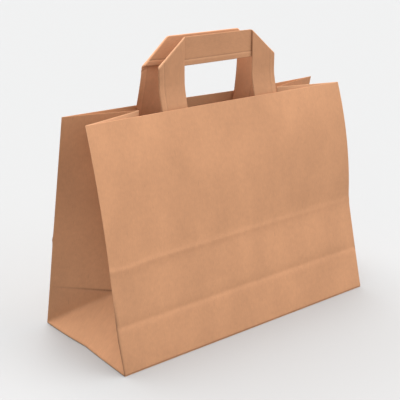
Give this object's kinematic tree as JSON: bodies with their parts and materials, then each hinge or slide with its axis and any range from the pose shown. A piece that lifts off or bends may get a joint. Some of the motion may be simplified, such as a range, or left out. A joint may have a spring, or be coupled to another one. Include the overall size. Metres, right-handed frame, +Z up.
{
  "type": "paper carrier bag",
  "caption": "Kraft paper carrier bag standing open, with a block bottom, side gussets and folded paper strip handles glued inside the panels.",
  "frame": {"origin": "middle of the base, on the surface that it stands on", "axes": "+X to the right across the front panel, +Y from the front panel to the back panel, +Z up towards the handles"},
  "size_m": [0.32, 0.1398, 0.2892],
  "materials": {
    "bag": "uncoated brown kraft paper, matt",
    "handle": "folded plies of brown kraft paper, matt",
    "patch": "plain brown kraft paper, matt"
  },
  "bodies": {
    "root": {"bag_body": "bag", "front_handle": "handle", "rear_handle": "handle", "front_handle_patch": "patch", "rear_handle_patch": "patch"}
  },
  "joints": []
}
